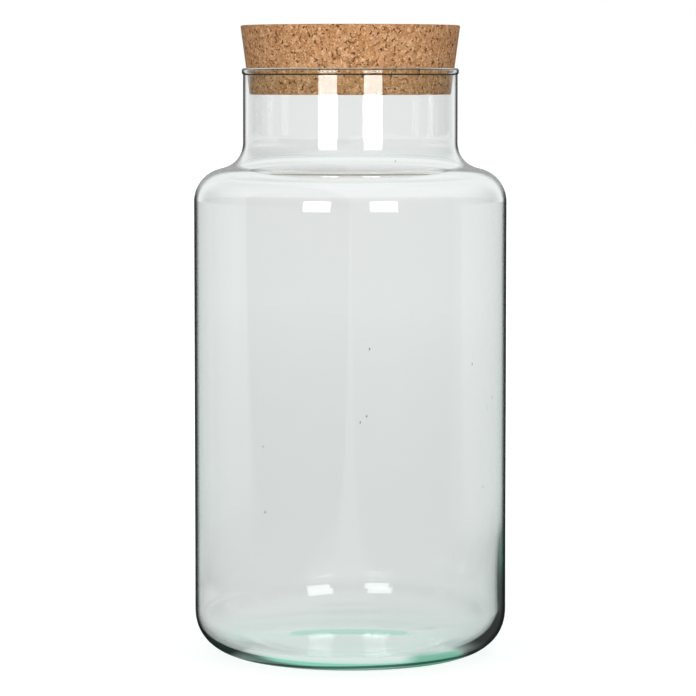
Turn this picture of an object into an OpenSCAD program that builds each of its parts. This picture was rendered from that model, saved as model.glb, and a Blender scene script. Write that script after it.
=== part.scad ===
// Glass storage jar with a tapered cork stopper.
// Millimetres, +Z up. The origin is the centre of the foot, in the plane that the jar stands on.

/* [Glass body] */
// Outer diameter of the body
body_d = 150; // [130:1:220]
// Height from the foot to the top of the rim
jar_h = 283; // [200:1:420]
// Thickness of the body wall just under the shoulder
wall_t = 2; // [1.5:0.1:3.5]
// Thickness of the body wall just above the heel, where the glass runs thicker
low_wall_t = 2.8; // [1.5:0.1:4.5]

/* [Shoulder] */
// Radius of the rounded edge between the body wall and the shoulder
shoulder_r = 16; // [8:0.5:20]
// Slope of the shoulder above level, in degrees
shoulder_slope = 15; // [5:1:35]
// Radius of the hollow sweep from the shoulder up into the neck
neck_sweep_r = 12.5; // [5:0.5:18]

/* [Neck and rim] */
// Outer diameter of the neck
neck_d = 102.8; // [84:0.2:112]
// Thickness of the neck wall
neck_wall_t = 1.35; // [1:0.05:2.5]
// Height from the top of the sweep to the top of the rim
neck_h = 35.5; // [28:0.5:60]
// How far the rim bead stands out from the neck
rim_lip = 0.6; // [0.2:0.1:2]
// Height of the rim bead
rim_h = 3; // [2.4:0.1:6]
// Height of the fire-rounded top of the rim
rim_round_h = 1.3; // [0.6:0.1:1.6]

/* [Heel and base] */
// Diameter of the outer edge of the flat ring that the jar stands on
foot_d = 91.4; // [80:0.2:110]
// Height of the rounded heel, from the foot to the straight wall
heel_h = 23.5; // [14:0.5:36]
// Fullness of the heel curves: 2 is a plain ellipse, and more is squarer
heel_fullness = 2.3; // [2:0.1:3]
// Diameter of the push-up under the base, which is the inner edge of the foot ring
push_up_d = 84; // [40:1:90]
// Height of the push-up at the centre of the base
push_up_h = 2.5; // [0.5:0.1:3.5]
// Height of the edge of the inner floor above the foot
floor_h = 5.5; // [5:0.1:9]
// How far the middle of the inner floor rises above its edge
floor_rise = 2; // [0:0.1:4]
// Diameter of the inner floor, inside the curve up to the wall
floor_d = 102; // [70:1:114]
// Height that the inner wall takes to run out of the floor
inner_heel_h = 19; // [19:1:60]

/* [Cork stopper] */
// Height of the cork
cork_h = 33; // [22:1:60]
// Taper of the cork's side from upright, in degrees
cork_taper = 7.3; // [3:0.1:10]
// How far the cork reaches down below the top of the rim
cork_depth = 12.6; // [6:0.1:20]
// Radius of the worn edges at the cork's top and bottom
cork_edge_r = 0.7; // [0.3:0.1:2]
// Gap left all round between the cork and the mouth of the glass
seat_gap = 0.3; // [0.2:0.05:0.6]

/* [Hidden] */
$fn = 96;
glass_tint = [0.83, 0.92, 0.9, 0.45];
cork_tan = [0.74, 0.56, 0.38];

// Steps in a quarter of a large curve, and in the small curves of the rim and the cork's edges
curve_steps = 12;
edge_steps = 5;
base_steps = 8;

// Least width of the ring that the jar stands on
least_ring_w = 3;

body_r = body_d / 2;
neck_r = neck_d / 2;
foot_r = foot_d / 2;
push_up_r = min(push_up_d / 2, foot_r - least_ring_w);
floor_r = floor_d / 2;
bore_r = neck_r - neck_wall_t;
rim_r = neck_r + rim_lip;
low_inner_r = body_r - low_wall_t;
top_inner_r = body_r - wall_t;

// The two shoulder curves shrink together where the shoulder is too narrow for them
shoulder_w = body_r - neck_r;
curves_w = (shoulder_r + neck_sweep_r) * (1 - sin(shoulder_slope));
curve_fit = min(1, 0.95 * shoulder_w / curves_w);
outer_edge_r = shoulder_r * curve_fit;
outer_sweep_r = neck_sweep_r * curve_fit;
inner_edge_r = outer_edge_r - wall_t;
inner_sweep_r = outer_sweep_r + neck_wall_t;

// Height of the shoulder between the top of the straight body wall and the foot of the straight neck
function shoulder_run(wide, narrow, edge_r, sweep_r) =
    (wide - narrow - (edge_r + sweep_r) * (1 - sin(shoulder_slope))) / cos(shoulder_slope);
function shoulder_rise(wide, narrow, edge_r, sweep_r) =
    (edge_r + sweep_r) * cos(shoulder_slope)
    + shoulder_run(wide, narrow, edge_r, sweep_r) * sin(shoulder_slope);

neck_z = jar_h - neck_h;
wall_top_z = neck_z - shoulder_rise(body_r, neck_r, outer_edge_r, outer_sweep_r);
inner_neck_z = wall_top_z + shoulder_rise(top_inner_r, bore_r, inner_edge_r, inner_sweep_r);
inner_heel_z = floor_h + inner_heel_h;

// The cork's side clears the inner edge of the rounded rim by the seat gap
seat_z = jar_h - rim_round_h;
cork_seat_r = bore_r - seat_gap / cos(cork_taper);
cork_z = jar_h - cork_depth;
cork_low_r = cork_seat_r - (seat_z - cork_z) * tan(cork_taper);
cork_top_r = cork_low_r + cork_h * tan(cork_taper);

// Points of an elliptical arc about [cx, cz], from angle a0 to a1
function arc(cx, cz, rx, rz, a0, a1, steps) =
    [for (i = [0:steps]) let (a = a0 + (a1 - a0) * i / steps) [cx + rx * cos(a), cz + rz * sin(a)]];

// Points of a full heel curve, from the flat at [flat_r, low_z] out to the wall at [wall_r, high_z]
function heel(flat_r, low_z, wall_r, high_z) =
    [for (i = [0:curve_steps]) let (a = 90 * i / curve_steps)
        [flat_r + (wall_r - flat_r) * pow(sin(a), 2 / heel_fullness),
         high_z - (high_z - low_z) * pow(cos(a), 2 / heel_fullness)]];

// Points of a shoulder, from the top of a wall at radius wide up to the foot of a neck at radius narrow
function shoulder(wide, narrow, edge_r, sweep_r, base_z, top_z) = concat(
    arc(wide - edge_r, base_z, edge_r, edge_r, 0, 90 - shoulder_slope, curve_steps),
    arc(narrow + sweep_r, top_z, sweep_r, sweep_r, 270 - shoulder_slope, 180, curve_steps));

// Points of a smooth swell, from its top at the centre out to its edge at [edge_r, edge_z]
function swell(edge_r, edge_z, rise) =
    [for (i = [0:base_steps]) let (s = i / base_steps)
        [edge_r * s, edge_z + rise * (1 + cos(180 * s)) / 2]];

function all_but_last(points) = [for (i = [0:len(points) - 2]) points[i]];

function reversed(points) = [for (i = [len(points) - 1:-1:0]) points[i]];

// Rim bead and its fire-rounded top, from the outside of the neck over to the bore
function rim() = let (mid_r = (rim_r + bore_r) / 2, half_t = (rim_r - bore_r) / 2, low_z = jar_h - rim_h)
    concat(
        [[neck_r, low_z]],
        arc(neck_r, low_z + rim_lip, rim_lip, rim_lip, -90, 0, edge_steps),
        arc(mid_r, seat_z, half_t, rim_round_h, 0, 180, 2 * edge_steps));

module glass_jar() {
    outside = concat(
        swell(push_up_r, 0, push_up_h),
        heel(foot_r, 0, body_r, heel_h),
        shoulder(body_r, neck_r, outer_edge_r, outer_sweep_r, wall_top_z, neck_z),
        rim());
    inside = concat(
        all_but_last(swell(floor_r, floor_h, floor_rise)),
        heel(floor_r, floor_h, low_inner_r, inner_heel_z),
        shoulder(top_inner_r, bore_r, inner_edge_r, inner_sweep_r, wall_top_z, inner_neck_z));
    color(glass_tint)
        rotate_extrude() polygon(concat(outside, reversed(inside)));
}

module cork_stopper() {
    cork_top_z = cork_z + cork_h;
    color(cork_tan)
        rotate_extrude() polygon(concat(
            [[0, cork_z]],
            arc(cork_low_r - cork_edge_r, cork_z + cork_edge_r, cork_edge_r, cork_edge_r,
                -90, -cork_taper, edge_steps),
            arc(cork_top_r - cork_edge_r, cork_top_z - cork_edge_r, cork_edge_r, cork_edge_r,
                -cork_taper, 90, edge_steps),
            [[0, cork_top_z]]));
}

glass_jar();
cork_stopper();
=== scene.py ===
"""Glass storage jar with a tapered cork stopper, dressed over its construction model."""

import math

import bpy
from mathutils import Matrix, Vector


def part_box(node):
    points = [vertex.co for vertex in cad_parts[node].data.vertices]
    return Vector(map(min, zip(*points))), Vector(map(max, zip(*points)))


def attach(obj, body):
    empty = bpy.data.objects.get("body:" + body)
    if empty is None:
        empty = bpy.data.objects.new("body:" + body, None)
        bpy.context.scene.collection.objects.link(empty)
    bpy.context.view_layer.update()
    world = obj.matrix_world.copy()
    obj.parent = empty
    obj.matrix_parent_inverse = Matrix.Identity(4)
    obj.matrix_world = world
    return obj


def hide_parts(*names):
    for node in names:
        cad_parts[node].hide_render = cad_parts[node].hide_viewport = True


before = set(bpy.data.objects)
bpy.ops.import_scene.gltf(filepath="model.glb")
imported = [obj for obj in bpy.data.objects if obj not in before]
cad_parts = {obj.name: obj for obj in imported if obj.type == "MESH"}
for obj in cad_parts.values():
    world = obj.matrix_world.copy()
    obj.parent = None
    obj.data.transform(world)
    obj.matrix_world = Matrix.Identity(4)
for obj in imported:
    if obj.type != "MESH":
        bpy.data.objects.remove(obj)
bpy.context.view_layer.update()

MM = 0.001
PHOTO_PX = 696

# Sizes read from the construction model
JAR_LOW, JAR_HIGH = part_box("glass_jar")
CORK_LOW, CORK_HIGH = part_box("cork_stopper")
BODY_R = JAR_HIGH[0]
JAR_H = JAR_HIGH[2]
CORK_TOP_R = CORK_HIGH[0]
CORK_Z0 = CORK_LOW[2]
CORK_Z1 = CORK_HIGH[2]

# Glass: the outside
FOOT_R = 45.7 * MM
HEEL_H = 23.5 * MM
HEEL_FULLNESS = 2.3
PUSH_UP_R = 42 * MM
PUSH_UP_H = 2.5 * MM
SHOULDER_R = 16 * MM
SHOULDER_SLOPE = math.radians(15)
SWEEP_R = 12.5 * MM
NECK_R = 51.4 * MM
NECK_H = 35.5 * MM
RIM_LIP = 0.6 * MM
RIM_H = 3 * MM
RIM_ROUND_H = 1.3 * MM
BEAD_CORNER = 0.08 * MM

# Glass: the inside
WALL_T = 2 * MM
LOW_WALL_T = 2.8 * MM
NECK_WALL_T = 1.35 * MM
FLOOR_R = 51 * MM
FLOOR_H = 5.5 * MM
FLOOR_RISE = 2 * MM
INNER_HEEL_H = 19 * MM
HEEL_LEAN = 1.3 * MM
LEAN_AZIMUTH = math.radians(-45)
OUTER_UNEVENNESS = 0.15 * MM
INNER_UNEVENNESS = 0.15 * MM

# Cork
CORK_TAPER = math.radians(7.3)
CORK_EDGE_R = 0.7 * MM
GRANULE = 2.3 * MM
GRANULE_WARP = 2.2 * MM
PIT_DEPTH = 0.25 * MM
CORK_SEGMENTS = 400

# Camera
EYE_BACK = 1.7
EYE_H = 0.278
EYE_PITCH = math.radians(4.355)
EYE_SIDE_PX = 2.3
FOCAL_PX = 3537.3
SENSOR_MM = 36

# Light levels, where 1 is a white card in full light
AMBIENT = 0.12
TABLE_AMBIENT = 0.5
BACKDROP_THROUGH_GLASS = 0.94
BACKDROP_EDGE = 0.5
CEILING_IN_REFLECTION = 0.9
ROOM_IN_REFLECTION = 0.06
TABLE_IN_REFLECTION = 0.04
TABLE_GLOW = 0.68
BACKDROP_INSIDE_WALLS = 0.9
# Painted light and shade of the table for rays bounced inside the glass walls: bright far behind the jar and left of
# it, painted dark to its right past where the left's light gives way
FAR_TABLE_INSIDE_WALLS = 0.85
NEAR_TABLE_INSIDE_WALLS = 0.04
LEFT_TABLE_INSIDE_WALLS = 0.6
PAINTED_DARK_FROM = 0.045
PAINTED_DARK_TO = 0.07
# The table seen straight through the glass: darker near the jar, a painted shade, and lighter far off
NEAR_TABLE_THROUGH_GLASS = 0.66
FAR_TABLE_THROUGH_GLASS = 0.86
GUIDED_ALONG_WALLS = 0.85
# Painted glow for rays trapped in the glass: its low level at the heel and rim
PAINTED_GLOW_LOW = 0.04
# Painted dark edge lines on the glass: where they start and end by facing, how dark they are painted, and how much is
# kept under the heel
EDGE_FROM = 0.73
EDGE_TO = 0.85
EDGE_PAINTED_SHADE = 0.92
EDGE_UNDER_HEEL = 0.25
# Painted dark rings round the glass, under the bead, at the top of the rim and low on the heel: height, half width,
# darkness and tilt
PAINTED_DARK_RINGS = (
    (JAR_H - RIM_H, 0.5 * MM, 0.92, 0.0),
    (JAR_H - 0.7 * MM, 0.45 * MM, 0.6, 0.0),
    (3.6 * MM, 1.2 * MM, 0.8, 0.022),
)
# How much of the painted dark edge line is kept on the shoulder
EDGE_ON_SHOULDER = 0.6
# Seeds in the glass, each drawn as a painted dark dot: cell size, radius and painted shade
SEED_CELL = 12 * MM
SEED_R = 0.42 * MM
SEED_PAINTED_SHADE = 0.55
# Strength of the painted aqua glow low on the right of the heel
PAINTED_AQUA_SHARE = 0.85
# Painted glow for rays trapped in the glass: its level on the walls and in the base
PAINTED_GLOW_IN_WALLS = 0.75
PAINTED_GLOW_IN_BASE = 0.9
# A painted pool of light on the table under and behind the jar's base: its level, half width, radius and soft edge
PAINTED_LIGHT_UNDER_JAR = 0.85
LIGHT_HALF_W = 50 * MM
LIGHT_R = 75 * MM
LIGHT_EDGE = 12 * MM
SOFTBOX_LEVEL = 8.0
SOFTBOX_W = 0.56
SOFTBOX_H = 0.46
SOFTBOX_Z = 0.4
FILL_LEVEL = 3.5
FILL_SIZE = 1.0
AIR_UNDER_FOOT = 0.1 * MM
TOP_LIGHT = 0.45


def srgb(text):
    """Linear colour of an sRGB hex value, with alpha 1."""
    parts = [int(text[i:i + 2], 16) / 255 for i in (1, 3, 5)]
    return tuple(c / 12.92 if c <= 0.04045 else ((c + 0.055) / 1.055) ** 2.4 for c in parts) + (1,)


def add(tree, kind, inputs=None, **settings):
    """Adds a node with its settings. Each input gets a value, or a link where a socket is given."""
    made = tree.nodes.new(kind)
    for name, value in settings.items():
        setattr(made, name, value)
    for key, value in (inputs or {}).items():
        if isinstance(value, bpy.types.NodeSocket):
            tree.links.new(value, made.inputs[key])
        else:
            made.inputs[key].default_value = value
    return made


# Profiles, as lists of (radius, height) in metres


def arc(centre_r, centre_z, size_r, size_z, start, end, steps):
    """Points of an elliptical arc between two angles in degrees."""
    angles = [math.radians(start + (end - start) * i / steps) for i in range(steps + 1)]
    return [(centre_r + size_r * math.cos(a), centre_z + size_z * math.sin(a)) for a in angles]


def heel(flat_r, low_z, wall_r, high_z, fullness, steps):
    """Points of a full heel curve, from the flat out and up to the wall."""
    power = 2 / fullness
    angles = [math.pi / 2 * i / steps for i in range(steps + 1)]
    return [(flat_r + (wall_r - flat_r) * math.sin(a) ** power,
             high_z - (high_z - low_z) * max(math.cos(a), 0) ** power) for a in angles]


def swell(edge_r, edge_z, rise, steps):
    """Points of a smooth swell, from its top at the centre out to its edge."""
    return [(edge_r * i / steps, edge_z + rise * (1 + math.cos(math.pi * i / steps)) / 2)
            for i in range(steps + 1)]


def line(start, end, steps):
    """Points after start along a straight stretch, up to end."""
    return [(start[0] + (end[0] - start[0]) * i / steps,
             start[1] + (end[1] - start[1]) * i / steps) for i in range(1, steps + 1)]


def shoulder_rise(wide, narrow, edge_r, sweep_r):
    """Height of the shoulder from the top of the wall to the foot of the neck."""
    run = (wide - narrow - (edge_r + sweep_r) * (1 - math.sin(SHOULDER_SLOPE))) / math.cos(SHOULDER_SLOPE)
    return (edge_r + sweep_r) * math.cos(SHOULDER_SLOPE) + run * math.sin(SHOULDER_SLOPE)


def shoulder(wide, narrow, edge_r, sweep_r, base_z):
    """Points of a shoulder, from the top of the wall up to the foot of the neck."""
    slope = math.degrees(SHOULDER_SLOPE)
    top_z = base_z + shoulder_rise(wide, narrow, edge_r, sweep_r)
    edge = arc(wide - edge_r, base_z, edge_r, edge_r, 0, 90 - slope, 18)
    sweep = arc(narrow + sweep_r, top_z, sweep_r, sweep_r, 270 - slope, 180, 18)
    return edge + line(edge[-1], sweep[0], 4)[:-1] + sweep


def glass_profile():
    """The whole section of the jar, from the centre of the underside round to the centre of the floor."""
    bore_r = NECK_R - NECK_WALL_T
    neck_z = JAR_H - NECK_H
    wall_top = neck_z - shoulder_rise(BODY_R, NECK_R, SHOULDER_R, SWEEP_R)
    seat_z = JAR_H - RIM_ROUND_H
    rim_mid = (NECK_R + RIM_LIP + bore_r) / 2
    rim_half = (NECK_R + RIM_LIP - bore_r) / 2
    push_up = swell(PUSH_UP_R, 0, PUSH_UP_H, 16)
    outer_heel = heel(FOOT_R, 0, BODY_R, HEEL_H, HEEL_FULLNESS, 36)
    outer_shoulder = shoulder(BODY_R, NECK_R, SHOULDER_R, SWEEP_R, wall_top)
    rim_foot = (NECK_R, JAR_H - RIM_H - BEAD_CORNER)
    bead = arc(NECK_R, JAR_H - RIM_H / 2, RIM_LIP, RIM_H / 2, -90, 0, 10)
    lip = arc(rim_mid, seat_z, rim_half, RIM_ROUND_H, 0, 180, 20)
    outside = push_up + line(push_up[-1], outer_heel[0], 4)[:-1] + outer_heel
    outside += line(outer_heel[-1], outer_shoulder[0], 60)[:-1] + outer_shoulder
    outside += line(outer_shoulder[-1], rim_foot, 12) + bead + lip
    inner_heel = heel(FLOOR_R, FLOOR_H, BODY_R - LOW_WALL_T, FLOOR_H + INNER_HEEL_H, HEEL_FULLNESS, 36)
    inner_shoulder = shoulder(BODY_R - WALL_T, bore_r, SHOULDER_R - WALL_T, SWEEP_R + NECK_WALL_T, wall_top)
    inside = swell(FLOOR_R, FLOOR_H, FLOOR_RISE, 18)[:-1] + inner_heel
    inside += line(inner_heel[-1], inner_shoulder[0], 60)[:-1] + inner_shoulder
    inside += line(inner_shoulder[-1], lip[-1], 12)[:-1]
    return outside, inside


def cork_profile():
    """The section of the cork, in steps fine enough to carry its granules."""
    step = 0.8 * MM
    low_r = CORK_TOP_R - (CORK_Z1 - CORK_Z0) * math.tan(CORK_TAPER)
    taper = math.degrees(CORK_TAPER)
    low_edge = arc(low_r - CORK_EDGE_R, CORK_Z0 + CORK_EDGE_R, CORK_EDGE_R, CORK_EDGE_R, -90, -taper, 4)
    top_edge = arc(CORK_TOP_R - CORK_EDGE_R, CORK_Z1 - CORK_EDGE_R, CORK_EDGE_R, CORK_EDGE_R, -taper, 90, 4)
    points = [(0, CORK_Z0)] + line((0, CORK_Z0), low_edge[0], round(low_r / step))[:-1] + low_edge
    points += line(low_edge[-1], top_edge[0], round((CORK_Z1 - CORK_Z0) / step))[:-1] + top_edge
    return points + line(top_edge[-1], (0, CORK_Z1), round(CORK_TOP_R / step))


def heel_lean(radius, height):
    """How far the inside sits to the left of centre: the heel was blown thicker on its right."""
    rise = min(max((65 * MM - height) / (40 * MM), 0), 1)
    return HEEL_LEAN * rise * rise * (3 - 2 * rise) * min(radius / FLOOR_R, 1)


def profile_object(name, points, **attributes):
    """A chain of points in the XZ plane, with a value of each attribute at each point."""
    mesh = bpy.data.meshes.new(name)
    edges = [(i, i + 1) for i in range(len(points) - 1)]
    mesh.from_pydata([(r, 0, z) for r, z in points], edges, [])
    for label, values in attributes.items():
        layer = mesh.attributes.new(label, "FLOAT", "POINT")
        layer.data.foreach_set("value", values)
    obj = bpy.data.objects.new(name, mesh)
    bpy.context.scene.collection.objects.link(obj)
    return obj


def turned_tree(name, material, unevenness):
    """Geometry Nodes that turn the profile about the upright axis and give it a hand-made unevenness."""
    tree = bpy.data.node_groups.new(name, "GeometryNodeTree")
    face = tree.interface
    face.new_socket("Geometry", in_out="INPUT", socket_type="NodeSocketGeometry")
    face.new_socket("Segments", in_out="INPUT", socket_type="NodeSocketInt")
    face.new_socket("Geometry", in_out="OUTPUT", socket_type="NodeSocketGeometry")
    given = add(tree, "NodeGroupInput").outputs
    profile = given["Geometry"]
    size = add(tree, "GeometryNodeAttributeDomainSize", {0: profile}, component="MESH").outputs["Point Count"]
    columns = add(tree, "ShaderNodeMath", {0: given["Segments"], 1: 1.0}, operation="ADD").outputs[0]
    grid = add(tree, "GeometryNodeMeshGrid", {"Vertices X": columns, "Vertices Y": size}).outputs[0]
    index = add(tree, "GeometryNodeInputIndex").outputs[0]
    row = add(tree, "ShaderNodeMath", {0: index, 1: size}, operation="MODULO").outputs[0]
    ratio = add(tree, "ShaderNodeMath", {0: index, 1: size}, operation="DIVIDE").outputs[0]
    column = add(tree, "ShaderNodeMath", {0: ratio}, operation="FLOOR").outputs[0]
    place = add(tree, "GeometryNodeInputPosition").outputs[0]
    section = add(tree, "GeometryNodeSampleIndex", {0: profile, 1: place, 2: row}, data_type="FLOAT_VECTOR")
    share = add(tree, "ShaderNodeMath", {0: column, 1: given["Segments"]}, operation="DIVIDE").outputs[0]
    angle = add(tree, "ShaderNodeMath", {0: share, 1: math.tau}, operation="MULTIPLY").outputs[0]
    turned = add(tree, "ShaderNodeVectorRotate", {"Vector": section.outputs[0], "Angle": angle},
                 rotation_type="Z_AXIS").outputs[0]
    moved = unevenness(tree, profile, row, turned)
    shaped = add(tree, "GeometryNodeSetPosition", {"Geometry": grid, "Position": moved}).outputs[0]
    merged = add(tree, "GeometryNodeMergeByDistance", {"Geometry": shaped, "Distance": 0.001 * MM}).outputs[0]
    smooth = add(tree, "GeometryNodeSetShadeSmooth", {"Geometry": merged}).outputs[0]
    whole = add(tree, "GeometryNodeRealizeInstances", {"Geometry": smooth}).outputs[0]
    finished = add(tree, "GeometryNodeSetMaterial", {"Geometry": whole, "Material": material}).outputs[0]
    add(tree, "NodeGroupOutput", {0: finished})
    return tree


def blown_unevenness(tree, profile, row, place):
    """Pushes the blown glass in or out along its radius, by a slow noise times the profile's own allowance."""
    allowance = add(tree, "GeometryNodeInputNamedAttribute", {"Name": "allowance"}, data_type="FLOAT").outputs[0]
    amount = add(tree, "GeometryNodeSampleIndex", {0: profile, 1: allowance, 2: row}, data_type="FLOAT").outputs[0]
    lean = add(tree, "GeometryNodeInputNamedAttribute", {"Name": "lean"}, data_type="FLOAT").outputs[0]
    tilt = add(tree, "GeometryNodeSampleIndex", {0: profile, 1: lean, 2: row}, data_type="FLOAT").outputs[0]
    noise = add(tree, "ShaderNodeTexNoise", {"Vector": place, "Scale": 9.0, "Detail": 1.0}).outputs[0]
    centred = add(tree, "ShaderNodeMath", {0: noise, 1: 0.5}, operation="SUBTRACT").outputs[0]
    push = add(tree, "ShaderNodeMath", {0: centred, 1: amount}, operation="MULTIPLY").outputs[0]
    flat = add(tree, "ShaderNodeVectorMath", {0: place, 1: (1, 1, 0)}, operation="MULTIPLY").outputs[0]
    outward = add(tree, "ShaderNodeVectorMath", {0: flat}, operation="NORMALIZE").outputs[0]
    thick_side = (math.cos(LEAN_AZIMUTH), math.sin(LEAN_AZIMUTH), 0)
    side = add(tree, "ShaderNodeVectorMath", {0: outward, 1: thick_side}, operation="DOT_PRODUCT").outputs["Value"]
    thinning = add(tree, "ShaderNodeMath", {0: side, 1: tilt}, operation="MULTIPLY").outputs[0]
    total = add(tree, "ShaderNodeMath", {0: push, 1: thinning}, operation="SUBTRACT").outputs[0]
    shift = add(tree, "ShaderNodeVectorMath", {0: outward, "Scale": total}, operation="SCALE").outputs[0]
    return add(tree, "ShaderNodeVectorMath", {0: place, 1: shift}, operation="ADD").outputs[0]


def cork_relief(tree, profile, row, place):
    """Sinks the open pits of the cork's skin in from its turned surface."""
    tone, border, warped = cork_cells(tree, place)
    pits = cork_pits(tree, border, warped)
    middle = (0, 0, (CORK_Z0 + CORK_Z1) / 2)
    from_middle = add(tree, "ShaderNodeVectorMath", {0: place, 1: middle}, operation="SUBTRACT").outputs[0]
    inward = add(tree, "ShaderNodeVectorMath", {0: from_middle}, operation="NORMALIZE").outputs[0]
    depth = add(tree, "ShaderNodeMath", {0: pits, 1: -PIT_DEPTH}, operation="MULTIPLY").outputs[0]
    shift = add(tree, "ShaderNodeVectorMath", {0: inward, "Scale": depth}, operation="SCALE").outputs[0]
    return add(tree, "ShaderNodeVectorMath", {0: place, 1: shift}, operation="ADD").outputs[0]


def modifier_value(modifier, label, value):
    """Sets a Geometry Nodes input by the name of its socket."""
    sockets = modifier.node_group.interface.items_tree
    found = next(s for s in sockets if s.name == label and s.in_out == "INPUT")
    modifier[found.identifier] = value


def baked(source, tree, name, **values):
    """A plain mesh object of what the tree makes of the source, which is removed."""
    modifier = source.modifiers.new(tree.name, "NODES")
    modifier.node_group = tree
    for label, value in values.items():
        modifier_value(modifier, label, value)
    graph = bpy.context.evaluated_depsgraph_get()
    mesh = bpy.data.meshes.new_from_object(source.evaluated_get(graph), depsgraph=graph)
    mesh.name = name
    piece = bpy.data.objects.new(name, mesh)
    bpy.context.scene.collection.objects.link(piece)
    bpy.data.objects.remove(source)
    return piece


# Materials


def painted_trapped_glow(tree):
    """A painted glow for rays trapped in the glass, its level and colour: bright behind the base and low on the right,
    dim at the heel and rim, bright on the walls; aqua low down, white higher up.
    """
    place = add(tree, "ShaderNodeSeparateXYZ", {0: add(tree, "ShaderNodeTexCoord").outputs["Object"]}).outputs
    aside = add(tree, "ShaderNodeMath", {0: place["X"]}, operation="ABSOLUTE").outputs[0]
    middle = add(tree, "ShaderNodeMapRange", {
        "Value": aside, "From Min": 50 * MM, "From Max": 62 * MM, "To Min": 1.0, "To Max": 0.0},
        interpolation_type="SMOOTHSTEP").outputs[0]
    behind = add(tree, "ShaderNodeMapRange", {"Value": place["Y"], "From Min": 0.0, "From Max": 10 * MM},
                 interpolation_type="SMOOTHSTEP").outputs[0]
    behind = add(tree, "ShaderNodeMath", {0: middle, 1: behind}, operation="MULTIPLY").outputs[0]
    right = add(tree, "ShaderNodeMapRange", {"Value": place["X"], "From Min": -45 * MM, "From Max": -30 * MM},
                interpolation_type="SMOOTHSTEP").outputs[0]
    ahead = add(tree, "ShaderNodeMapRange", {"Value": place["Y"], "From Min": -20 * MM, "From Max": -30 * MM},
                interpolation_type="SMOOTHSTEP").outputs[0]
    low_right = add(tree, "ShaderNodeMath", {0: right, 1: ahead}, operation="MULTIPLY").outputs[0]
    in_base = add(tree, "ShaderNodeMath", {0: behind, 1: low_right}, operation="MAXIMUM").outputs[0]
    low = add(tree, "ShaderNodeMapRange", {
        "Value": place["Z"], "From Min": 25 * MM, "From Max": 40 * MM, "To Min": 1.0, "To Max": 0.0}).outputs[0]
    share = add(tree, "ShaderNodeMath", {0: in_base, 1: low}, operation="MULTIPLY").outputs[0]
    above_heel = add(tree, "ShaderNodeMapRange", {
        "Value": place["Z"], "From Min": 15 * MM, "From Max": 50 * MM, "To Min": PAINTED_GLOW_LOW,
        "To Max": PAINTED_GLOW_IN_WALLS}, interpolation_type="SMOOTHSTEP").outputs[0]
    at_rim = add(tree, "ShaderNodeMapRange", {
        "Value": place["Z"], "From Min": JAR_H - 10 * MM, "From Max": JAR_H - 4 * MM, "To Min": PAINTED_GLOW_IN_WALLS,
        "To Max": PAINTED_GLOW_LOW}, interpolation_type="SMOOTHSTEP").outputs[0]
    walls = add(tree, "ShaderNodeMath", {0: above_heel, 1: at_rim}, operation="MINIMUM").outputs[0]
    level = add(tree, "ShaderNodeMix", {0: share, 2: walls, 3: PAINTED_GLOW_IN_BASE}).outputs[0]
    whiter = add(tree, "ShaderNodeMapRange", {"Value": place["Z"], "From Min": 0.1, "From Max": 0.2}).outputs[0]
    colour = add(tree, "ShaderNodeMix", {0: whiter, 6: srgb("#A6E2D0"), 7: (1, 1, 1, 1)}, data_type="RGBA").outputs[2]
    return level, colour


def painted_dark_ring(tree, place, height, half_w, darkness, tilt):
    """A thin painted dark line round the glass, at a bend of its outside, in place of the shade where the bend turns
    the light away.
    """
    level_z = add(tree, "ShaderNodeMath", {0: place["X"], 1: -tilt, 2: place["Z"]}, operation="MULTIPLY_ADD").outputs[0]
    offset = add(tree, "ShaderNodeMath", {0: level_z, 1: height}, operation="SUBTRACT").outputs[0]
    distance = add(tree, "ShaderNodeMath", {0: offset}, operation="ABSOLUTE").outputs[0]
    return add(tree, "ShaderNodeMapRange", {
        "Value": distance, "From Min": half_w / 2, "From Max": half_w, "To Min": darkness, "To Max": 0.0},
        interpolation_type="SMOOTHSTEP").outputs[0]


def seeds(tree, place):
    """Seeds: tiny bubbles that blown glass keeps, drawn out upright as the body was blown. Each is drawn only as a
    painted dark dot, in place of the light a bubble would bend away.
    """
    stretched = add(tree, "ShaderNodeVectorMath", {0: place, 1: (1, 1, 0.5)}, operation="MULTIPLY").outputs[0]
    nearest = add(tree, "ShaderNodeTexVoronoi", {"Vector": stretched, "Scale": 1 / SEED_CELL}).outputs["Distance"]
    return add(tree, "ShaderNodeMapRange", {
        "Value": nearest, "From Min": 0.6 * SEED_R / SEED_CELL, "From Max": SEED_R / SEED_CELL,
        "To Min": SEED_PAINTED_SHADE, "To Max": 0.0}).outputs[0]


def painted_aqua_glow_share(tree, path):
    """Share of a painted aqua glow, low on the right where the heel runs thick, in place of the full aqua the thick
    glass shows.
    """
    place = add(tree, "ShaderNodeSeparateXYZ", {0: add(tree, "ShaderNodeTexCoord").outputs["Object"]}).outputs
    share = path_is_first(tree, path)
    bounds = (("X", 22, 34), ("X", 56, 48), ("Z", 12, 8), ("Y", 0, -10))
    for axis, start, end in bounds:
        step = add(tree, "ShaderNodeMapRange", {"Value": place[axis], "From Min": start * MM, "From Max": end * MM},
                   interpolation_type="SMOOTHSTEP").outputs[0]
        share = add(tree, "ShaderNodeMath", {0: share, 1: step}, operation="MULTIPLY").outputs[0]
    return add(tree, "ShaderNodeMath", {0: share, 1: PAINTED_AQUA_SHARE}, operation="MULTIPLY").outputs[0]


def path_is_first(tree, path):
    return add(tree, "ShaderNodeMath", {0: path["Transmission Depth"], 1: 0.5}, operation="LESS_THAN").outputs[0]


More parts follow.
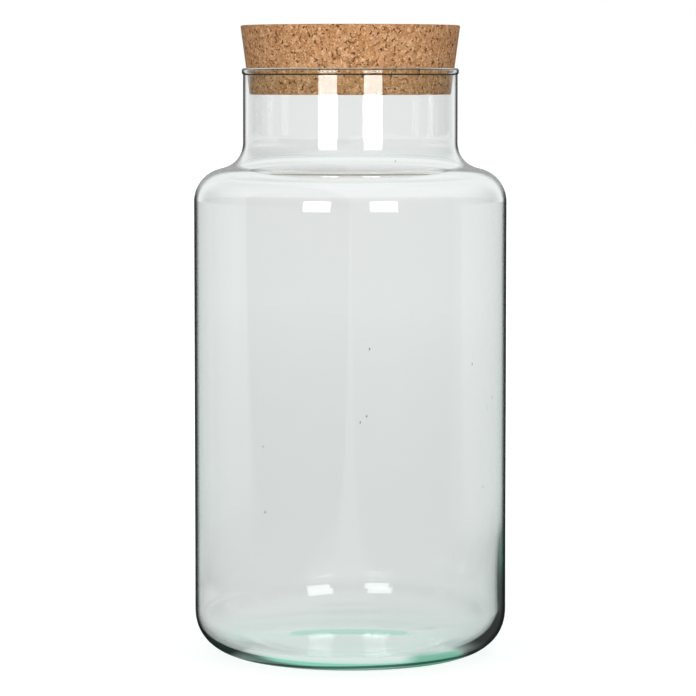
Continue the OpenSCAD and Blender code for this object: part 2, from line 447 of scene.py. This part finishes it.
def painted_dark_lines_share(tree, path):
    """Share of painted dark lines on the glass. The outermost sliver of a wall, seen edge on, is painted dark in place
    of the dark sides of the room it would gather; the painted dark rings and the seeds' dark dots are added to it.
    """
    facing = add(tree, "ShaderNodeLayerWeight", {"Blend": 0.5}).outputs["Facing"]
    sliver = add(tree, "ShaderNodeMapRange", {
        "Value": facing, "From Min": EDGE_FROM, "From Max": EDGE_TO, "To Max": EDGE_PAINTED_SHADE},
        interpolation_type="SMOOTHSTEP").outputs[0]
    where = add(tree, "ShaderNodeTexCoord").outputs
    place = add(tree, "ShaderNodeSeparateXYZ", {0: where["Object"]}).outputs
    above = add(tree, "ShaderNodeMapRange", {
        "Value": place["Z"], "From Min": 4 * MM, "From Max": 12 * MM, "To Min": EDGE_UNDER_HEEL, "To Max": 1.0},
        interpolation_type="SMOOTHSTEP").outputs[0]
    lean = add(tree, "ShaderNodeSeparateXYZ", {0: where["Normal"]}).outputs["Z"]
    upright = add(tree, "ShaderNodeMapRange", {
        "Value": lean, "From Min": 0.1, "From Max": 0.6, "To Min": 1.0, "To Max": EDGE_ON_SHOULDER},
        interpolation_type="SMOOTHSTEP").outputs[0]
    sliver = add(tree, "ShaderNodeMath", {0: sliver, 1: upright}, operation="MULTIPLY").outputs[0]
    dark = add(tree, "ShaderNodeMath", {0: sliver, 1: above}, operation="MULTIPLY").outputs[0]
    for height, half_w, darkness, tilt in PAINTED_DARK_RINGS:
        ring = painted_dark_ring(tree, place, height, half_w, darkness, tilt)
        dark = add(tree, "ShaderNodeMath", {0: dark, 1: ring}, operation="MAXIMUM").outputs[0]
    dark = add(tree, "ShaderNodeMath", {0: dark, 1: seeds(tree, where["Object"])}, operation="MAXIMUM").outputs[0]
    return add(tree, "ShaderNodeMath", {0: dark, 1: path_is_first(tree, path)}, operation="MULTIPLY").outputs[0]


def clear_glass():
    """Blown soda-lime glass: colourless when thin, blue-green where the heel and base run thick. Painted light and
    shade are mixed in: dark edge lines, rings and seed dots, an aqua glow low on the right of the heel, and a glow
    where rays are trapped in the glass.
    """
    material = bpy.data.materials.new("clear_blown_glass")
    material.use_nodes = True
    tree = material.node_tree
    tree.nodes.clear()
    glass = add(tree, "ShaderNodeBsdfPrincipled", {
        "Base Color": (1, 1, 1, 1),
        "Roughness": 0.0,
        "IOR": 1.52,
        "Transmission Weight": 1.0,
    })
    path = add(tree, "ShaderNodeLightPath").outputs
    soft_rays = add(tree, "ShaderNodeMath", {0: path["Is Shadow Ray"], 1: path["Is Diffuse Ray"]},
                    operation="MAXIMUM").outputs[0]
    open_glass = add(tree, "ShaderNodeBsdfTransparent", {"Color": (0.93, 0.95, 0.945, 1)})
    # A dark diffuse painted onto the glass for its dark edge lines, rings and seed dots, where there is only shade
    edge = add(tree, "ShaderNodeBsdfDiffuse", {"Color": srgb("#1C2622")})
    # A painted aqua glow: an emission on the glass, not light that has come through it
    aqua = add(tree, "ShaderNodeEmission", {"Color": srgb("#66AE94"), "Strength": 1.0})
    thick = add(tree, "ShaderNodeMixShader", {
        0: painted_aqua_glow_share(tree, path), 1: glass.outputs[0], 2: aqua.outputs[0]})
    # The painted dark lines go over the glass for rays that have not yet passed through it
    with_painted_dark_lines = add(tree, "ShaderNodeMixShader", {0: painted_dark_lines_share(tree, path), 1: thick.outputs[0], 2: edge.outputs[0]})
    mixed = add(tree, "ShaderNodeMixShader", {0: soft_rays, 1: with_painted_dark_lines.outputs[0], 2: open_glass.outputs[0]})
    # Rays that have mirrored more than three times show a painted glow in place of what they would reach
    trapped = add(tree, "ShaderNodeMath", {0: path["Glossy Depth"], 1: 3.5}, operation="GREATER_THAN").outputs[0]
    level, colour = painted_trapped_glow(tree)
    glow = add(tree, "ShaderNodeEmission", {"Color": colour, "Strength": level})
    whole = add(tree, "ShaderNodeMixShader", {0: trapped, 1: mixed.outputs[0], 2: glow.outputs[0]})
    tint = add(tree, "ShaderNodeVolumeAbsorption", {"Color": srgb("#69EBCF"), "Density": 12.0})
    add(tree, "ShaderNodeOutputMaterial", {"Surface": whole.outputs[0], "Volume": tint.outputs[0]})
    return material


def cork_cells(tree, place):
    """The granules at a place: a random tone for each, how near its edge is, and the warped place itself."""
    noise = add(tree, "ShaderNodeTexNoise", {"Vector": place, "Scale": 1 / (2.6 * MM), "Detail": 3.0})
    centred = add(tree, "ShaderNodeVectorMath", {0: noise.outputs["Color"], 1: (0.5, 0.5, 0.5)},
                  operation="SUBTRACT").outputs[0]
    warped = add(tree, "ShaderNodeVectorMath", {0: centred, 1: (GRANULE_WARP,) * 3, 2: place},
                 operation="MULTIPLY_ADD").outputs[0]
    cells = add(tree, "ShaderNodeTexVoronoi", {"Vector": warped, "Scale": 1 / GRANULE})
    border = add(tree, "ShaderNodeTexVoronoi", {"Vector": warped, "Scale": 1 / GRANULE},
                 feature="DISTANCE_TO_EDGE").outputs["Distance"]
    tone = add(tree, "ShaderNodeSeparateXYZ", {0: cells.outputs["Color"]}).outputs["X"]
    return tone, border, warped


def cork_pits(tree, border, warped):
    """Where the surface is open, from 0 to 1: ragged gaps along some granule edges, and round pores."""
    noise = add(tree, "ShaderNodeTexNoise", {"Vector": warped, "Scale": 1 / (1.7 * MM), "Detail": 2.0}).outputs[0]
    gap = add(tree, "ShaderNodeMapRange", {"Value": noise, "From Min": 0.53, "From Max": 0.63},
              interpolation_type="SMOOTHSTEP").outputs[0]
    edge = add(tree, "ShaderNodeMapRange", {
        "Value": border, "From Min": 0.05, "From Max": 0.16, "To Min": 1.0, "To Max": 0.0},
        interpolation_type="SMOOTHSTEP").outputs[0]
    open_edge = add(tree, "ShaderNodeMath", {0: gap, 1: edge}, operation="MULTIPLY").outputs[0]
    pores = add(tree, "ShaderNodeTexVoronoi", {"Vector": warped, "Scale": 1 / (1.9 * MM)})
    pick = add(tree, "ShaderNodeSeparateXYZ", {0: pores.outputs["Color"]}).outputs["Y"]
    size = add(tree, "ShaderNodeMapRange", {
        "Value": pick, "From Min": 0.6, "From Max": 1.0, "To Min": 0.0, "To Max": 0.32}).outputs[0]
    depth = add(tree, "ShaderNodeMath", {0: size, 1: pores.outputs["Distance"]}, operation="SUBTRACT").outputs[0]
    pore = add(tree, "ShaderNodeMapRange", {"Value": depth, "From Min": 0.0, "From Max": 0.1}).outputs[0]
    return add(tree, "ShaderNodeMath", {0: open_edge, 1: pore}, operation="MAXIMUM").outputs[0]


def tone_ramp(tree, value, stops):
    """A colour ramp from a list of (place, sRGB hex)."""
    ramp = add(tree, "ShaderNodeValToRGB", {0: value})
    points = ramp.color_ramp.elements
    while len(points) < len(stops):
        points.new(1.0)
    for point, (where, colour) in zip(points, stops):
        point.position = where
        point.color = srgb(colour)
    return ramp.outputs[0]


def tinted(tree, share, base, colour):
    """The base colour, mixed towards another by a share."""
    return add(tree, "ShaderNodeMix", {0: share, 6: base, 7: srgb(colour)}, data_type="RGBA").outputs[2]


def agglomerated_cork():
    """Bonded cork granules, turned and left raw: matt and warm, with lighter flecks, and open pits and gaps that are
    coloured dark brown.
    """
    material = bpy.data.materials.new("agglomerated_cork")
    material.use_nodes = True
    tree = material.node_tree
    tree.nodes.clear()
    place = add(tree, "ShaderNodeTexCoord").outputs["Object"]
    tone, border, warped = cork_cells(tree, place)
    grain = add(tree, "ShaderNodeTexNoise", {"Vector": warped, "Scale": 1 / (1.1 * MM), "Detail": 3.0}).outputs[0]
    mottled = add(tree, "ShaderNodeMapRange", {"Value": grain, "From Min": 0.3, "From Max": 0.7}).outputs[0]
    blend = add(tree, "ShaderNodeMix", {0: 0.55, 2: tone, 3: mottled}).outputs[0]
    base = tone_ramp(tree, blend, [
        (0.0, "#8A5A34"), (0.22, "#A5744A"), (0.45, "#B38357"), (0.7, "#C0916A"), (1.0, "#DDB68A")])
    fleck_noise = add(tree, "ShaderNodeTexNoise", {"Vector": warped, "Scale": 1 / (0.9 * MM), "Detail": 1.0}).outputs[0]
    fleck = add(tree, "ShaderNodeMapRange", {"Value": fleck_noise, "From Min": 0.6, "From Max": 0.68}).outputs[0]
    flecked = tinted(tree, fleck, base, "#E3B68A")
    pits = cork_pits(tree, border, warped)
    # Darker brown where the surface is open, in the sunk pits and gaps
    colour = tinted(tree, pits, flecked, "#5A371D")
    rough = add(tree, "ShaderNodeMapRange", {"Value": grain, "To Min": 0.78, "To Max": 0.95}).outputs[0]
    lower = add(tree, "ShaderNodeMath", {0: pits, 1: -1.0}, operation="MULTIPLY").outputs[0]
    relief = add(tree, "ShaderNodeMath", {0: mottled, 1: 0.35, 2: lower}, operation="MULTIPLY_ADD").outputs[0]
    bump = add(tree, "ShaderNodeBump", {"Strength": 0.7, "Distance": PIT_DEPTH, "Height": relief}).outputs[0]
    surface = add(tree, "ShaderNodeBsdfPrincipled", {
        "Base Color": colour, "Roughness": rough, "Normal": bump, "Specular IOR Level": 0.25})
    add(tree, "ShaderNodeOutputMaterial", {"Surface": surface.outputs[0]})
    return material


# Stage


def studio_level(tree, ambient, straight, reflected, bounced, along):
    """How bright the studio is to each kind of ray: to light, through glass, mirrored, and inside the walls."""
    path = add(tree, "ShaderNodeLightPath").outputs
    mirrored = add(tree, "ShaderNodeMath", {0: path["Glossy Depth"], 1: 0.5}, operation="GREATER_THAN").outputs[0]
    guided = add(tree, "ShaderNodeMath", {0: path["Glossy Depth"], 1: 1.5}, operation="GREATER_THAN").outputs[0]
    inner = add(tree, "ShaderNodeMix", {0: guided, 2: bounced, 3: along}).outputs[0]
    through = add(tree, "ShaderNodeMix", {0: mirrored, 2: straight, 3: inner}).outputs[0]
    glossy = add(tree, "ShaderNodeMix", {0: path["Is Glossy Ray"], 2: ambient, 3: reflected}).outputs[0]
    passed = add(tree, "ShaderNodeMix", {0: path["Is Transmission Ray"], 2: glossy, 3: through}).outputs[0]
    return add(tree, "ShaderNodeMix", {0: path["Is Camera Ray"], 2: passed, 3: 1.0}).outputs[0]


def make_world():
    """A white backdrop all round, with a light ceiling above it and a dim room in front of the jar."""
    world = bpy.data.worlds.new("white_backdrop")
    world.use_nodes = True
    tree = world.node_tree
    tree.nodes.clear()
    way = add(tree, "ShaderNodeTexCoord").outputs["Generated"]
    parts = add(tree, "ShaderNodeSeparateXYZ", {0: way}).outputs
    height = parts["Z"]
    up = add(tree, "ShaderNodeMapRange", {"Value": height, "From Min": 0.15, "From Max": 0.6},
             interpolation_type="SMOOTHSTEP").outputs[0]
    reflected = add(tree, "ShaderNodeMix", {0: up, 2: ROOM_IN_REFLECTION, 3: CEILING_IN_REFLECTION}).outputs[0]
    aside = add(tree, "ShaderNodeMath", {0: parts["X"]}, operation="ABSOLUTE").outputs[0]
    ahead = add(tree, "ShaderNodeMapRange", {"Value": parts["Y"], "From Min": -0.3, "From Max": 0.1},
                interpolation_type="SMOOTHSTEP").outputs[0]
    between = add(tree, "ShaderNodeMapRange", {
        "Value": aside, "From Min": BACKDROP_EDGE, "From Max": BACKDROP_EDGE + 0.3, "To Min": 1.0, "To Max": 0.0},
        interpolation_type="SMOOTHSTEP").outputs[0]
    backdrop = add(tree, "ShaderNodeMath", {0: ahead, 1: between}, operation="MULTIPLY").outputs[0]
    bounced = add(tree, "ShaderNodeMix", {0: backdrop, 2: reflected, 3: BACKDROP_INSIDE_WALLS}).outputs[0]
    reflected = add(tree, "ShaderNodeMix", {0: backdrop, 2: reflected, 3: BACKDROP_INSIDE_WALLS}).outputs[0]
    level = studio_level(tree, AMBIENT, BACKDROP_THROUGH_GLASS, reflected, bounced, GUIDED_ALONG_WALLS)
    back = add(tree, "ShaderNodeBackground", {"Color": (1, 1, 1, 1), "Strength": level})
    add(tree, "ShaderNodeOutputWorld", {0: back.outputs[0]})
    bpy.context.scene.world = world


def painted_light_under_jar(tree, place, away):
    """A painted pool of light on the table under and behind the jar's base, narrow from side to side, so that it ends
    left and right of the base.
    """
    parts = add(tree, "ShaderNodeSeparateXYZ", {0: place}).outputs
    along = parts["X"]
    across = parts["Y"]
    aside = add(tree, "ShaderNodeMath", {0: along}, operation="ABSOLUTE").outputs[0]
    narrow = add(tree, "ShaderNodeMapRange", {
        "Value": aside, "From Min": LIGHT_HALF_W, "From Max": LIGHT_HALF_W + LIGHT_EDGE,
        "To Min": PAINTED_LIGHT_UNDER_JAR, "To Max": 0.0}, interpolation_type="SMOOTHSTEP").outputs[0]
    inside = add(tree, "ShaderNodeMapRange", {
        "Value": away, "From Min": LIGHT_R, "From Max": LIGHT_R + LIGHT_EDGE, "To Min": 1.0, "To Max": 0.0},
        interpolation_type="SMOOTHSTEP").outputs[0]
    behind = add(tree, "ShaderNodeMapRange", {"Value": across, "From Min": 0.0, "From Max": 30 * MM},
                 interpolation_type="SMOOTHSTEP").outputs[0]
    reached = add(tree, "ShaderNodeMath", {0: inside, 1: behind}, operation="MAXIMUM").outputs[0]
    return add(tree, "ShaderNodeMath", {0: narrow, 1: reached}, operation="MULTIPLY").outputs[0]


def make_floor():
    """A wide white table, which shows white to the eye and keeps the jar's soft shadow. To rays through and inside the
    glass and in reflections it glows with painted light and shade instead: a painted aqua pool of light under and
    behind the base, painted dark right of the jar, and darker near the jar.
    """
    size = 12
    mesh = bpy.data.meshes.new("white_table")
    low = -AIR_UNDER_FOOT
    corners = [(-size, -size, low), (size, -size, low), (size, size, low), (-size, size, low)]
    mesh.from_pydata(corners, [], [(0, 1, 2, 3)])
    floor = bpy.data.objects.new("white_table", mesh)
    bpy.context.scene.collection.objects.link(floor)
    material = bpy.data.materials.new("white_table_top")
    material.use_nodes = True
    tree = material.node_tree
    tree.nodes.clear()
    place = add(tree, "ShaderNodeTexCoord").outputs["Object"]
    away = add(tree, "ShaderNodeVectorMath", {0: place}, operation="LENGTH").outputs["Value"]
    far = add(tree, "ShaderNodeMapRange", {"Value": away, "From Min": 0.1, "From Max": 0.7},
              interpolation_type="SMOOTHSTEP").outputs[0]
    parts = add(tree, "ShaderNodeSeparateXYZ", {0: place}).outputs
    # For rays bounced inside the walls the table is painted: bright far behind and on the left, dark to the right of
    # the jar
    behind = add(tree, "ShaderNodeMapRange", {"Value": parts["Y"], "From Min": -0.1, "From Max": 0.05},
                 interpolation_type="SMOOTHSTEP").outputs[0]
    far_behind = add(tree, "ShaderNodeMath", {0: far, 1: behind}, operation="MULTIPLY").outputs[0]
    near = add(tree, "ShaderNodeMapRange", {
        "Value": parts["X"], "From Min": PAINTED_DARK_FROM, "From Max": PAINTED_DARK_TO,
        "To Min": LEFT_TABLE_INSIDE_WALLS, "To Max": NEAR_TABLE_INSIDE_WALLS},
        interpolation_type="SMOOTHSTEP").outputs[0]
    bounced = add(tree, "ShaderNodeMix", {0: far_behind, 2: near, 3: FAR_TABLE_INSIDE_WALLS}).outputs[0]
    # pool: the painted pool of light, shown to rays inside the walls and in reflections
    pool = painted_light_under_jar(tree, place, away)
    pooled = add(tree, "ShaderNodeMath", {0: pool, 1: bounced}, operation="MAXIMUM").outputs[0]
    reflected = add(tree, "ShaderNodeMath", {0: pool, 1: TABLE_IN_REFLECTION}, operation="MAXIMUM").outputs[0]
    # Seen straight through the glass the table is painted darker near the jar
    straight = add(tree, "ShaderNodeMapRange", {
        "Value": away, "From Min": 0.2, "From Max": 2.5, "To Min": NEAR_TABLE_THROUGH_GLASS,
        "To Max": FAR_TABLE_THROUGH_GLASS}).outputs[0]
    level = studio_level(tree, TABLE_AMBIENT, straight, reflected, pooled, pooled)
    path = add(tree, "ShaderNodeLightPath").outputs
    seen_far = add(tree, "ShaderNodeMath", {0: far, 1: path["Is Camera Ray"]}, operation="MULTIPLY").outputs[0]
    glow = add(tree, "ShaderNodeMix", {0: seen_far, 2: TABLE_GLOW, 3: 1.0}).outputs[0]
    half = add(tree, "ShaderNodeMath", {0: level, 1: glow}, operation="MULTIPLY").outputs[0]
    lit_glow = add(tree, "ShaderNodeEmission", {"Color": (1, 1, 1, 1), "Strength": half})
    matt = add(tree, "ShaderNodeBsdfDiffuse", {"Color": (0.5, 0.5, 0.5, 1)})
    lit = add(tree, "ShaderNodeAddShader", {0: lit_glow.outputs[0], 1: matt.outputs[0]})
    mirrored = add(tree, "ShaderNodeMath", {0: path["Glossy Depth"], 1: 0.5}, operation="GREATER_THAN").outputs[0]
    # The painted pool is tinted aqua to all but transmission rays
    through = add(tree, "ShaderNodeMath", {0: 1.0, 1: path["Is Transmission Ray"]}, operation="SUBTRACT").outputs[0]
    aqua = add(tree, "ShaderNodeMath", {0: pool, 1: through}, operation="MULTIPLY").outputs[0]
    colour = add(tree, "ShaderNodeMix", {0: aqua, 6: (1, 1, 1, 1), 7: srgb("#B4E4D6")}, data_type="RGBA").outputs[2]
    plain = add(tree, "ShaderNodeEmission", {"Color": colour, "Strength": level})
    both = add(tree, "ShaderNodeMixShader", {0: mirrored, 1: lit.outputs[0], 2: plain.outputs[0]})
    add(tree, "ShaderNodeOutputMaterial", {"Surface": both.outputs[0]})
    mesh.materials.append(material)


def top_light():
    """Soft light from straight above, the same all over the table."""
    data = bpy.data.lights.new("top_light", "SUN")
    data.energy = TOP_LIGHT * math.pi
    data.angle = math.radians(60)
    light = bpy.data.objects.new("top_light", data)
    light.location = (0, 0, 2)
    light.visible_camera = False
    light.visible_glossy = False
    light.visible_transmission = False
    bpy.context.scene.collection.objects.link(light)


def area_light(name, place, target, width, height, level, reflects):
    """A rectangular soft light whose face is level times a white card."""
    data = bpy.data.lights.new(name, "AREA")
    data.shape = "RECTANGLE"
    data.size = width
    data.size_y = height
    data.energy = level * math.pi * width * height
    light = bpy.data.objects.new(name, data)
    light.location = place
    aim = [t - p for t, p in zip(target, place)]
    flat = math.hypot(aim[0], aim[1])
    light.rotation_euler = (math.atan2(flat, -aim[2]), 0, math.atan2(aim[0], -aim[1]) + math.pi)
    light.visible_camera = False
    light.visible_glossy = reflects
    light.visible_transmission = reflects
    bpy.context.scene.collection.objects.link(light)
    return light


def make_lights():
    """Two softboxes, left and right of the camera, a fill from the front and a wide soft light above."""
    away = 1.6
    centre_z = SOFTBOX_Z
    for side in (-1, 1):
        azimuth = math.radians(24 * side)
        place = (away * math.sin(azimuth), -away * math.cos(azimuth), centre_z)
        area_light(f"softbox_{'left' if side < 0 else 'right'}", place, (0, 0, centre_z),
                   SOFTBOX_W, SOFTBOX_H, SOFTBOX_LEVEL, True)
    area_light("front_fill", (0, -2, 0.6), (0, 0, 0.2), FILL_SIZE, FILL_SIZE, FILL_LEVEL, False)
    top_light()


def make_camera():
    """A long lens at the height of the rim, tipped down to centre the jar."""
    data = bpy.data.cameras.new("camera")
    data.sensor_width = SENSOR_MM
    data.lens = FOCAL_PX / PHOTO_PX * SENSOR_MM
    camera = bpy.data.objects.new("camera", data)
    side = -EYE_SIDE_PX * EYE_BACK / FOCAL_PX
    camera.location = (side, -EYE_BACK, EYE_H)
    camera.rotation_euler = (math.pi / 2 - EYE_PITCH, 0, 0)
    bpy.context.scene.collection.objects.link(camera)
    bpy.context.scene.camera = camera


# The pieces


def make_jar():
    """The blown jar, a closed wall with an outside and an inside."""
    outside, inside = glass_profile()
    points = outside + inside[::-1]
    outer = len(outside)
    allowance = [OUTER_UNEVENNESS] * outer + [INNER_UNEVENNESS] * len(inside)
    lean = [0.0] * outer + [heel_lean(r, z) for r, z in inside[::-1]]
    profile = profile_object("jar_profile", points, allowance=allowance, lean=lean)
    tree = turned_tree("turned_glass", clear_glass(), blown_unevenness)
    jar = baked(profile, tree, "blown_glass_jar", Segments=256)
    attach(jar, "jar")
    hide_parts("glass_jar")
    return jar


def make_cork():
    """The tapered stopper."""
    profile = profile_object("cork_profile", cork_profile())
    tree = turned_tree("turned_cork", agglomerated_cork(), cork_relief)
    cork = baked(profile, tree, "turned_cork_stopper", Segments=CORK_SEGMENTS)
    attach(cork, "cork")
    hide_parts("cork_stopper")
    return cork


scene = bpy.context.scene
scene.view_settings.view_transform = "Standard"
make_camera()
make_world()
make_floor()
make_lights()
make_jar()
make_cork()
